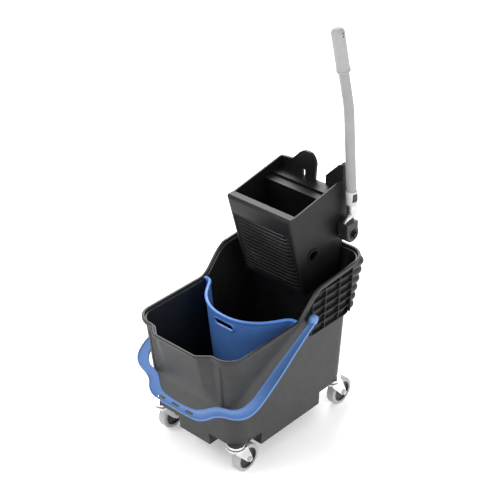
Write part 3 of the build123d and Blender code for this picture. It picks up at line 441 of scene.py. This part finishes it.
def tub_patches():
    """Outer wall, lip and inner wall as one swept grid, on a cross-shaped foot between the wheel arches."""
    lower = column(ARCH_TOP, 110, 130, 150, 170, 190, 201.25, 206, 214, 226, 240, 255, 270, 282, BEND_Z)
    lip = ((0, 12), (0, LIP_DEPTH), (6.4, LIP_DEPTH), (7.2, 10.8), (7.8, 10.2), (LIP_OUT, 9.3), (LIP_OUT, 2.4),
           (7.7, 1.3), (7.0, 0.5), (5.8, 0.1), (4.2, 0.0), (2.6, 0.1), (1.3, 0.5), (0.6, 1.3), (0.5, 2.4),
           (0.5, LIP_STEP - 0.6), (0.2, LIP_STEP), (-2.6, LIP_STEP), (-3.2, LIP_STEP + 0.3), (-WALL, LIP_STEP + 1))
    lip_rows = along_rim(column(*[out for out, _ in lip]), column(*[drop for _, drop in lip]))
    rise = column(*np.linspace(0, 1, 14)[1:-1])
    fade = GROOVE_DEPTH * np.clip((lower - 203) / 10, 0, 1)
    wall_low = half_outline(lower, 0.0, fade)
    fade = GROOVE_DEPTH * np.clip((0.72 - rise) / 0.1, 0, 1)
    wall_high = half_outline(BEND_Z + (lip_rows[:1, :, 2] - BEND_Z) * rise, 0.0, fade)
    inner_high = half_outline(BEND_Z + (lip_rows[-1:, :, 2] - BEND_Z) * rise[::-1], -WALL)
    floor_z, cove, soft = FLOOR_Z + FLOOR_T, 9.0, 3.0
    inner_low = half_outline(column(BEND_Z, 270, 250, 230, 210, 201.25, 190, 160, 130, ARCH_TOP + 0.2), -WALL)
    shell = ringed(np.concatenate([wall_low, wall_high, lip_rows, inner_high, inner_low]))
    patches = [grid(shell, around=True)]

    # the foot's outside and underside, then its basin with a rounded top edge and a cove round the floor
    foot = np.stack([cross_ring(FLOOR_Z, 1.5), cross_ring(FLOOR_Z + 1.5, 0), cross_ring(ARCH_TOP, 0)])
    shelf_z = ARCH_TOP + WALL
    turns = np.linspace(0, pi / 2, 5)
    basin = [cross_ring(shelf_z - soft * (1 - cos(a)), WALL - soft + soft * sin(a)) for a in turns]
    basin += [cross_ring(floor_z + cove * (1 - sin(a)), WALL + cove * (1 - cos(a))) for a in turns]
    patches += [grid(foot, around=True), cap(foot[0], flip=True), grid(np.stack(basin), around=True), cap(basin[-1])]

    # each arch's roof, and the shelf over it inside
    half, front, rear = tub_walls(ARCH_TOP)
    for end, end_y, inwards in (("front", front, 1), ("rear", rear, -1)):
        for z, inset, r in ((ARCH_TOP, 0.0, CORNER_R), (shelf_z, WALL - soft, CORNER_R - WALL / 2)):
            start_x, start_y = ARCH_X - inset, ARCH_Y[end] + inwards * inset
            far = inset and WALL / 2
            near = corner_path(start_x, start_y, half - far, end_y + inwards * far, ARCH_R + inset)
            rim = outer_corner(start_x, start_y, half - far, end_y + inwards * far, r)
            sheet = grid(np.stack([raised(near + (rim - near) * t, z) for t in np.linspace(0, 1, 4)]))
            sheet = sheet if (end == "front") == (z == shelf_z) else flipped(sheet)
            patches += [sheet, mirrored(sheet)]
    return patches


def lathe(profile, centre, axis, count=24):
    """Profile (reach along the axis, radius) turned about an axis (0 = X, 2 = Z) through a centre."""
    a = np.arange(count) / count * 2 * pi
    reach, radius = np.array(profile, float).T
    ring = [radius[:, None] * np.cos(a), radius[:, None] * np.sin(a), reach[:, None] * np.ones(count)]
    order = (2, 0, 1) if axis == 0 else (0, 1, 2)
    return grid(np.stack([ring[k] for k in order], -1) + centre, around=True)


# the boss inside the tub that each castor's stem is pressed into: height and radius
STEM_BOSS = ((ARCH_TOP, 14.5), (121, 13.6), (122.5, 12.8), (123, 11.5), (123, 0.001))

tub = tub_patches()
for end, side in CASTORS:
    vertices, faces = lathe(STEM_BOSS, (SIDES[side] * STEM_X, STEM_Y[end], 0), 2)
    half, front, rear = tub_walls(110)
    corner = np.array([SIDES[side] * (half - CORNER_R), (front + CORNER_R) if end == "front" else (rear - CORNER_R)])
    reach = vertices[..., :2] - corner
    length = np.linalg.norm(reach, axis=-1, keepdims=True)
    vertices[..., :2] = corner + reach * np.minimum(1, (CORNER_R - WALL / 2) / length)
    tub.append((vertices, faces))
bucket = make("bucket_tub", tub, "bucket", ["bucket_shell", "bucket_base"], TUB_PP)


def paint_interior_and_lip_shade(made, shade_inside, lip):
    """A second, blacker material on the floor and walls that look into the tub, and a third, darker one on the lip
    and on the wall within the rear lattice: painted shade inside the tub, under the lip and in the lattice's cells.
    """
    mesh = made.data
    mesh.materials.append(shade_inside)
    mesh.materials.append(lip)
    count = len(mesh.polygons)
    centre, normal = np.empty(count * 3), np.empty(count * 3)
    mesh.polygons.foreach_get("center", centre)
    mesh.polygons.foreach_get("normal", normal)
    centre, normal = centre.reshape(-1, 3) / MM - (0, SHIFT_Y, 0), normal.reshape(-1, 3)
    x, y, z = centre.T
    half, _, rear = tub_walls(z)
    # faces that look into the tub take the blacker second material: painted shade
    inward = (normal[:, 0] * x + normal[:, 1] * np.clip(y, -150, 150) / 1.4) < -1
    within = (np.abs(x) < half - 1) & (y < rear - 1) & (z > FLOOR_Z + 2) & (z < rim_height(y) - LIP_STEP - 1.2)
    inside = within & (inward | (normal[:, 2] > 0.2))
    # the lip, and the wall within the lattice's cells (z over 301, y over 43), take the darker third material:
    # painted shade
    lip_and_shaded_cells = ~inside & ((z > rim_height(y) - LIP_DEPTH - 0.2) | ((z > 301) & (y > 43)))
    mesh.polygons.foreach_set("material_index", (inside + 2 * lip_and_shaded_cells).astype(np.int32))


paint_interior_and_lip_shade(bucket, INTERIOR_SHADE_PP, LIP_AND_CELL_SHADE_PP)

# ------------------------------------------------------------------ lattice of ribs round the rear
RIB_Z0, RIB_PITCH, RIB_ROWS, RIB_OUT = 302.0, 22.8, 6, 8.5
RIB_FRONT, RIB_LAST = 44.0, 193.0
LOBE_R = 25.0                            # corner radius where a lobe stands out furthest
LOBE_BASE, LOBE_SWELL = 0.5, 7.8         # how far a lobe stands off the wall at a rib, and the more between ribs
LATTICE_TOP = 437.0
UPRIGHTS_Y = (RIB_FRONT, 92.0, 145.0, RIB_LAST)
UPRIGHTS_X = (110.0, 55.0, 0.0, -55.0, -110.0)
RIB_SECTION = ((-1, -1.3), (7.4, -1.1), (8.2, -0.8), (RIB_OUT, 0), (8.2, 0.8), (7.4, 1.1), (-1, 1.3))


def rear_path(z, grow, y_from):
    """Right half of a path round the rear at height z: along the side from y_from, the corner, the rear wall."""
    half, _, rear = tub_walls(z)
    half, rear, r = half + grow, rear + grow, CORNER_R + grow
    a = np.linspace(0, pi / 2, 14)
    side = np.stack([np.full(24, half), np.linspace(y_from, rear - r, 24)], -1)[:-1]
    arc = np.stack([half - r + r * np.cos(a), rear - r + r * np.sin(a)], -1)
    back = np.stack([np.linspace(half - r, 0, 14), np.full(14, rear)], -1)[1:]
    return np.concatenate([side, arc, back])


def bar(rows):
    """Closed bar from (section, columns, 3) rows: the swept skin and its two end faces."""
    skin = grid(np.concatenate([rows, rows[:1]]))
    return [skin, cap(rows[:, 0]), cap(rows[:, -1], flip=True)]


def lattice_patches():
    """Ribs, uprights and, round each corner, the convex lobes between the ribs."""
    patches = []
    for row in range(RIB_ROWS):
        z = RIB_Z0 + row * RIB_PITCH
        y = np.linspace(RIB_FRONT, 200, 600)
        clear = rim_height(y) - LIP_DEPTH > z + 1
        y_from = y[np.argmax(clear)]
        rows = []
        for out, dz in RIB_SECTION:
            base, full = rear_path(z + dz, -1.0, y_from), rear_path(z + dz, out, y_from)
            at_corner = (base[:, 1] > RIB_LAST) & (base[:, 0] > UPRIGHTS_X[0])
            share = np.where(at_corner, 0.25, 1.0)[:, None]
            half = base + (full - base) * share
            path = np.concatenate([half, half[-2::-1] * (-1, 1)])
            rows.append(np.concatenate([path, np.full((len(path), 1), z + dz)], 1))
        patches += bar(np.stack(rows))
    for side in SIDES.values():
        for y in UPRIGHTS_Y:
            z = np.linspace(RIB_Z0, rim_height(y) - LIP_DEPTH + 0.5, 8)
            half = tub_walls(z)[0]
            rows = np.stack([np.stack([side * (half + out), np.full(8, y + dy), z], -1) for out, dy in RIB_SECTION])
            patches += bar(rows)
    for x in UPRIGHTS_X:
        rows = []
        for out, dx in RIB_SECTION:
            z = np.linspace(RIB_Z0, LATTICE_TOP, 8)
            rows.append(np.stack([np.full(8, x + dx), tub_walls(z)[2] + out, z], -1))
        patches += bar(np.stack(rows))
    lobe_z = np.linspace(RIB_Z0, LATTICE_TOP + 0.5, 66)
    swell = np.abs(np.sin(pi * (lobe_z - RIB_Z0) / RIB_PITCH)) ** 0.6
    rows = []
    for z, share in zip(lobe_z, swell):
        half, _, rear = tub_walls(z)
        out = LOBE_BASE + LOBE_SWELL * share
        half, rear, r = half + out, rear + out, CORNER_R + (LOBE_R - CORNER_R) * share
        a = np.linspace(0, pi / 2, 16)
        arc = np.stack([half - r + r * np.cos(a), rear - r + r * np.sin(a)], -1)
        path = np.concatenate([[(half, RIB_LAST)], arc, [(UPRIGHTS_X[0], rear)]])
        rows.append(np.concatenate([path, np.full((len(path), 1), z)], 1))
    lobes = grid(np.stack(rows))
    return patches + [lobes, mirrored(lobes)]


# the lattice takes the darker lip material: painted shade for its recessed cells
make("rim_lattice_ribs", lattice_patches(), "bucket", ["rim_lattice"], LIP_AND_CELL_SHADE_PP)

# ------------------------------------------------------------------ slatted front of the wringer
FACE_TOP, FACE_LOW = (20.0, 603.0), (86.0, 374.0)
RISE = (FACE_TOP[0] - FACE_LOW[0]) / (FACE_TOP[1] - FACE_LOW[1])
GRILLE_Z = (384.3, 555.7)
GRILLE_X = 91.0
SLATS, SLAT_Z0, SLAT_PITCH = 14, 387.5, 12.1
# a blade's section: mm behind the front, and height; a narrow ledge over its nose, then a face that hangs forward
SLAT_SECTION = ((4.6, 0.3), (0.7, 0.0), (0.1, 0.6), (0.0, 1.3), (0.3, 2.3), (1.0, 3.0), (2.9, 3.6), (1.9, 9.3),
                (4.4, 9.5))
SLAT_END = 88.0
SWEEP_FROM, SWEEP_RISE = 60.0, 8.0


def face_y(z):
    """Y of the sloping front at height z."""
    return FACE_TOP[0] + RISE * (z - FACE_TOP[1])


def grille_patches():
    """Thin blades between two side strips; each blade's ends sweep up and back into the strips."""
    x = np.linspace(-SLAT_END, SLAT_END, 57)
    sweep = SWEEP_RISE * np.clip((np.abs(x) - SWEEP_FROM) / (SLAT_END - SWEEP_FROM), 0, 1) ** 2
    patches = []
    for slat in range(-1, SLATS):
        z0 = SLAT_Z0 + slat * SLAT_PITCH + 6.0
        keep = np.clip((GRILLE_Z[1] - 9 - z0) / SWEEP_RISE, 0, 1)
        rows = []
        for depth, height in SLAT_SECTION:
            z = z0 + height + sweep * keep
            rows.append(np.stack([x, face_y(z) + depth, np.clip(z, GRILLE_Z[0], GRILLE_Z[1])], -1))
        patches += bar(np.stack(rows))
    low, high = GRILLE_Z
    for side in SIDES.values():
        section = ((SLAT_END - 1, 7.0), (SLAT_END - 1, 1.0), (SLAT_END - 0.5, 0.3), (SLAT_END + 0.5, 0.0),
                   (GRILLE_X, 0.0), (GRILLE_X, 7.0))
        z = np.linspace(low, high, 12)
        rows = np.stack([np.stack([np.full(12, side * out), face_y(z) + depth, z], -1) for out, depth in section])
        patches += bar(rows)
    return patches


make("slatted_front", grille_patches(), "wringer", ["front_grille"], WRINGER_PP, sharp=50)

# ------------------------------------------------------------------ bail
BAIL_PIVOT, BAIL_REST = (38.8, 355.4), radians(29.0)
BAIL_OUTER = ((178, 8), (184, 90), (190, 150), (194, 215), (194, 262), (183, 291), (160, 308), (130, 317),
              (110, 327), (95, 343), (76, 353.5), (50, 357), (0, 357.5))
BAIL_INNER = ((162.5, 8), (162.5, 90), (163, 150), (165, 215), (165, 246), (158, 272), (141, 289),
              (118, 296), (99, 302), (84, 313), (69, 325), (48, 334.5), (0, 338))
BAIL_SLOTS_X, BAIL_SLOTS_REACH, BAIL_SLOT = (-48.0, -2.0, 44.0), 347.0, (25.0, 7.5)
# an eye on the boss: mm out from the middle plane, and radius
BAIL_EYE = ((162, 0.01), (162, 13.2), (162.8, 14), (169.5, 14), (172, 13.2), (173.8, 11), (174.7, 8), (175, 0.01))
# across the ribbon: mm in from the edge, and height over its middle plane; beads stand along both edges
BEAD = ((0.0, 1.2), (0.25, 2.2), (0.9, 2.8), (1.7, 3.0), (2.5, 2.8), (3.0, 2.2), (3.3, 1.2), (3.8, 0.9))


def through(points, per_span):
    """Smooth curve through points: cubic spans whose tangents are half the chord of the neighbours."""
    p = np.array(points, float)
    ends = np.concatenate([2 * p[:1] - p[1:2], p, 2 * p[-1:] - p[-2:-1]])
    tangent = (ends[2:] - ends[:-2]) / 2
    t = (np.arange(per_span) / per_span)[:, None]
    h = ((1 + 2 * t) * (1 - t) ** 2, t * (1 - t) ** 2, t * t * (3 - 2 * t), t * t * (t - 1))
    spans = [h[0] * p[i] + h[1] * tangent[i] + h[2] * p[i + 1] + h[3] * tangent[i + 1] for i in range(len(p) - 1)]
    return np.concatenate(spans + [p[-1:]])


def bail_frame(x, reach, lift):
    """Places in the hoop's own plane, turned down to where it hangs: across, out from the axis, over the plane."""
    c, s = cos(BAIL_REST), sin(BAIL_REST)
    return np.stack([x, BAIL_PIVOT[0] - reach * c - lift * s, BAIL_PIVOT[1] - reach * s + lift * c], -1)


def whole(half):
    """Both halves of a hoop curve from its right half, left arm to right arm."""
    full = [(-x, r) for x, r in half] + [(x, r) for x, r in half[-2::-1]]
    return through(full, 8)


def bail_patches():
    """The ribbon: across each station, from its inner to its outer edge, a grooved section with edge beads."""
    outer, inner = whole(BAIL_OUTER), whole(BAIL_INNER)
    width = np.linalg.norm(outer - inner, axis=1)
    across = (outer - inner) / width[:, None]
    rows = []
    section = [(inset, 0, h) for inset, h in BEAD] + [(inset, 1, h) for inset, h in BEAD[::-1]]
    section += [(inset, 1, -h) for inset, h in BEAD] + [(inset, 0, -h) for inset, h in BEAD[::-1]]
    for inset, far, height in section:
        step = (width - inset) if far else np.full_like(width, inset)
        place = inner + across * step[:, None]
        rows.append(bail_frame(place[:, 0], place[:, 1], np.full(len(place), height)))
    ribbon = bar(np.stack(rows))
    eyes = []
    for side in SIDES.values():
        turned = lathe([(side * reach, radius) for reach, radius in BAIL_EYE], (0, *BAIL_PIVOT), 0, 40)
        eyes.append(turned if side > 0 else flipped(turned))
    return ribbon + eyes


def face_outwards(mesh):
    """Turn every closed shell's faces outwards."""
    work = bmesh.new()
    work.from_mesh(mesh)
    bmesh.ops.recalc_face_normals(work, faces=work.faces)
    work.to_mesh(mesh)
    work.free()


def cut(made, patches, sharp=40):
    """Cut the closed shape of patches out of an object, and keep the result as its mesh."""
    cutter = shape("cutter", patches)
    for mesh in (made.data, cutter.data):
        face_outwards(mesh)
    difference = made.modifiers.new("cut", "BOOLEAN")
    difference.object = cutter
    difference.solver = "EXACT"
    bpy.context.view_layer.update()
    result = bpy.data.meshes.new_from_object(made.evaluated_get(bpy.context.evaluated_depsgraph_get()))
    made.modifiers.remove(difference)
    made.data = result
    bpy.data.objects.remove(cutter)
    result.shade_smooth()
    result.set_sharp_from_angle(angle=radians(sharp))


def slot_prism(x0, reach0, length, width):
    """A slot with round ends through the ribbon."""
    a = np.linspace(-pi / 2, pi / 2, 9)
    flat = (length - width) / 2
    right = np.stack([x0 + flat + width / 2 * np.cos(a), reach0 + width / 2 * np.sin(a)], -1)
    left = np.stack([x0 - flat - width / 2 * np.cos(a), reach0 - width / 2 * np.sin(a)], -1)
    ring = np.concatenate([right, left])
    rows = np.stack([bail_frame(ring[:, 0], ring[:, 1], np.full(len(ring), lift)) for lift in (-8.0, 8.0)])
    return [grid(rows, around=True), cap(rows[1]), cap(rows[0], flip=True)]


bail = make("bail_hoop", bail_patches(), "bail", ["bail"], BAIL_PP, sharp=40)
for x in BAIL_SLOTS_X:
    cut(bail, slot_prism(x, BAIL_SLOTS_REACH, *BAIL_SLOT))

# ------------------------------------------------------------------ divider
DIVIDER_PLAN = ((0, -100), (30, -97), (60, -86), (90, -64), (112, -36), (126, -14), (138, -5), (156, -4))
DIVIDER_LEAN, DIVIDER_TOP, DIVIDER_DIP, DIVIDER_FOOT = 0.12, 366.0, 2.4, 61.6
DIVIDER_SLOT_Z, DIVIDER_SLOT = 335.0, (60.0, 16.0)
# the rim round the slot: mm out from the slot's edge, and behind the sheet's middle
SLOT_RIM_SECTION = ((0.0, 1.0), (0.0, -3.2), (0.5, -4.2), (1.5, -4.6), (3.4, -4.6), (4.5, -4.0), (5.0, -2.8),
                    (5.0, 1.0))
# mm in front of the sheet's middle and below its top edge, from its foot up the front, over the bead, down the back
DIVIDER_SECTION = ((1.6, 9.5), (1.8, 8.2), (2.6, 7.2), (3.6, 6.4), (4.0, 5.2), (4.0, 1.6), (3.6, 0.6), (2.6, 0.0),
                   (-2.6, 0.0), (-3.6, 0.6), (-4.0, 1.6), (-4.0, 5.2), (-3.6, 6.4), (-2.6, 7.2), (-1.8, 8.2),
                   (-1.6, 9.5))


def divider_patches():
    """The sheet: the plan curve, leaning back as it goes down, as wide as the tub allows at each height."""
    curve = through([(-x, y) for x, y in DIVIDER_PLAN[:0:-1]] + list(DIVIDER_PLAN), 12)
    slope = np.gradient(curve, axis=0)
    normal = np.stack([slope[:, 1], -slope[:, 0]], -1) / np.linalg.norm(slope, axis=1)[:, None]
    low = np.linspace(DIVIDER_FOOT, DIVIDER_TOP - 12, 16)
    section = [(1.6, DIVIDER_TOP - z) for z in low] + list(DIVIDER_SECTION)
    section += [(-1.6, DIVIDER_TOP - z) for z in low[::-1]]
    dip = DIVIDER_DIP * (1 - (curve[:, 0] / 150) ** 2)
    rows = []
    for out, drop in section:
        z = DIVIDER_TOP - drop - dip * (drop < 12)
        limit = tub_walls(z)[0] - WALL - 0.6
        y_at = curve[:, 1] + DIVIDER_LEAN * (DIVIDER_TOP - z) + normal[:, 1] * out
        x = curve[:, 0] + normal[:, 0] * out
        rows.append(np.stack([np.clip(x, -limit, limit), y_at, z], -1))
    patches = bar(np.stack(rows))
    for side in SIDES.values():
        # a hook: it comes off the bead, rises over the ledge inside the rim and turns down at its tip
        path = through(((141, 361), (145, 364.5), (149, 365.6), (152, 364.6)), 6)
        rows = []
        for dy, dz in ((-3.6, 0.4), (-4, 0), (-4, -2.4), (-3.6, -2.8), (3.6, -2.8), (4, -2.4), (4, 0), (3.6, 0.4)):
            rows.append(np.stack([side * path[:, 0], np.full(len(path), dy - 5.0), path[:, 1] + dz], -1))
        hook = bar(np.stack(rows))
        patches += hook if side < 0 else [flipped(patch) for patch in hook]
    return patches


def stadium(length, width, count=10):
    """Closed outline of a slot with round ends."""
    a = np.linspace(-pi / 2, pi / 2, count)
    flat = (length - width) / 2
    right = np.stack([flat + width / 2 * np.cos(a), width / 2 * np.sin(a)], -1)
    return np.concatenate([right, -right])


divider = make("divider_sheet", divider_patches(), "divider", ["divider"], DIVIDER_PP, sharp=40)
slot_y = DIVIDER_PLAN[0][1] + DIVIDER_LEAN * (DIVIDER_TOP - DIVIDER_SLOT_Z)
ring = stadium(*DIVIDER_SLOT)
front_ring, back_ring = (np.stack([ring[:, 0], np.full(len(ring), slot_y + dy), DIVIDER_SLOT_Z + ring[:, 1]], -1)
                         for dy in (-20.0, 20.0))
cut(divider, [grid(np.stack([front_ring, back_ring]), around=True), cap(front_ring, flip=True), cap(back_ring)])
rim_rows = []
for spread, out in SLOT_RIM_SECTION:
    ring = stadium(DIVIDER_SLOT[0] + 2 * spread, DIVIDER_SLOT[1] + 2 * spread)
    sag = np.interp(np.abs(ring[:, 0]), *np.array(DIVIDER_PLAN[:3]).T) + 100
    y = slot_y + out + sag - DIVIDER_LEAN * ring[:, 1]
    rim_rows.append(np.stack([ring[:, 0], y, DIVIDER_SLOT_Z + ring[:, 1]], -1))
make("divider_slot_rim", [grid(np.stack(rim_rows), around=True)], "divider", [], DIVIDER_PP, sharp=40)

# ------------------------------------------------------------------ mouldings and pressings kept from the CAD
for name, body, finish, width in (
        ("wringer_housing", "wringer", WRINGER_PP, 0.9), ("rim_hook_left", "wringer", WRINGER_PP, 1.5),
        ("rim_hook_right", "wringer", WRINGER_PP, 1.5), ("press_plate", "press_plate", WRINGER_PP, 0.9),
        ("lever_hub", "lever", HUB_NYLON, 0.7),
        ("hub_bolt", "lever", BLACK_ZINC, 0.5), ("lever_sleeve", "lever", SLEEVE_PP, 0.5),
        ("sleeve_clip", "lever", HUB_NYLON, 0.4), ("cam_left", "lever", HUB_NYLON, 0.7),
        ("cam_right", "lever", HUB_NYLON, 0.7), ("bail_boss_left", "bucket", TUB_PP, 0.5),
        ("bail_boss_right", "bucket", TUB_PP, 0.5)):
    softened(name, body, finish, width)
for end, side in CASTORS:
    castor = f"castor_{end}_{side}"
    softened(f"{castor}_fork", f"swivel_{end}_{side}", CHROME, 0.5)
    softened(f"{castor}_axle", f"swivel_{end}_{side}", ZINC, 0.4)
    softened(f"{castor}_nut", f"swivel_{end}_{side}", ZINC, 0.4)
    softened(f"{castor}_hub", f"wheel_{end}_{side}", WHEEL_PP, 0.6)
    softened(f"{castor}_stem", "bucket", CHROME, 0.5)

# ------------------------------------------------------------------ studio
floor_mesh = bpy.data.meshes.new("studio_floor")
floor_mesh.from_pydata([(-6, -6, 0), (6, -6, 0), (6, 6, 0), (-6, 6, 0)], [], [(0, 1, 2, 3)])
floor = bpy.data.objects.new("studio_floor", floor_mesh)
bpy.context.scene.collection.objects.link(floor)
floor_material, _, floor_shader = surface("white_paper_sweep", Roughness=0.9)
floor_shader.inputs["Base Color"].default_value = colour("#ffffff")
floor_shader.inputs["Emission Color"].default_value = colour("#ffffff")
floor_shader.inputs["Emission Strength"].default_value = 0.22
floor_mesh.materials.append(floor_material)


def lamp(name, place, aim, size, watts):
    """A square area lamp at a place, turned to its aim."""
    data = bpy.data.lights.new(name, "AREA")
    data.size = size
    data.energy = watts
    made = bpy.data.objects.new(name, data)
    made.location = place
    made.rotation_euler = (Vector(aim) - Vector(place)).to_track_quat("-Z", "Y").to_euler()
    bpy.context.scene.collection.objects.link(made)


middle = Vector((0.0, 0.0, 0.4))
lamp("rear_softbox", (-1.5, 1.65, 1.9), middle, 1.3, 42)
lamp("front_softbox", (-0.9, -2.0, 2.3), middle, 1.4, 30)
lamp("side_softbox", (2.4, -0.2, 1.1), middle, 1.2, 16)
world = bpy.data.worlds.new("studio")
world.use_nodes = True
world.node_tree.nodes["Background"].inputs["Color"].default_value = (1, 1, 1, 1)
world.node_tree.nodes["Background"].inputs["Strength"].default_value = 0.9
bpy.context.scene.world = world
bpy.context.scene.view_settings.view_transform = "Standard"

camera_data = bpy.data.cameras.new("camera")
camera_data.lens = 94.42
camera_data.sensor_width = 36.0
camera = bpy.data.objects.new("camera", camera_data)
camera.location = (1.8118, -1.9846, 2.1050)
aim = Vector((-0.0048, 0.00974, 0.49748))
camera.rotation_euler = (aim - camera.location).to_track_quat("-Z", "Y").to_euler()
bpy.context.scene.collection.objects.link(camera)
bpy.context.scene.camera = camera
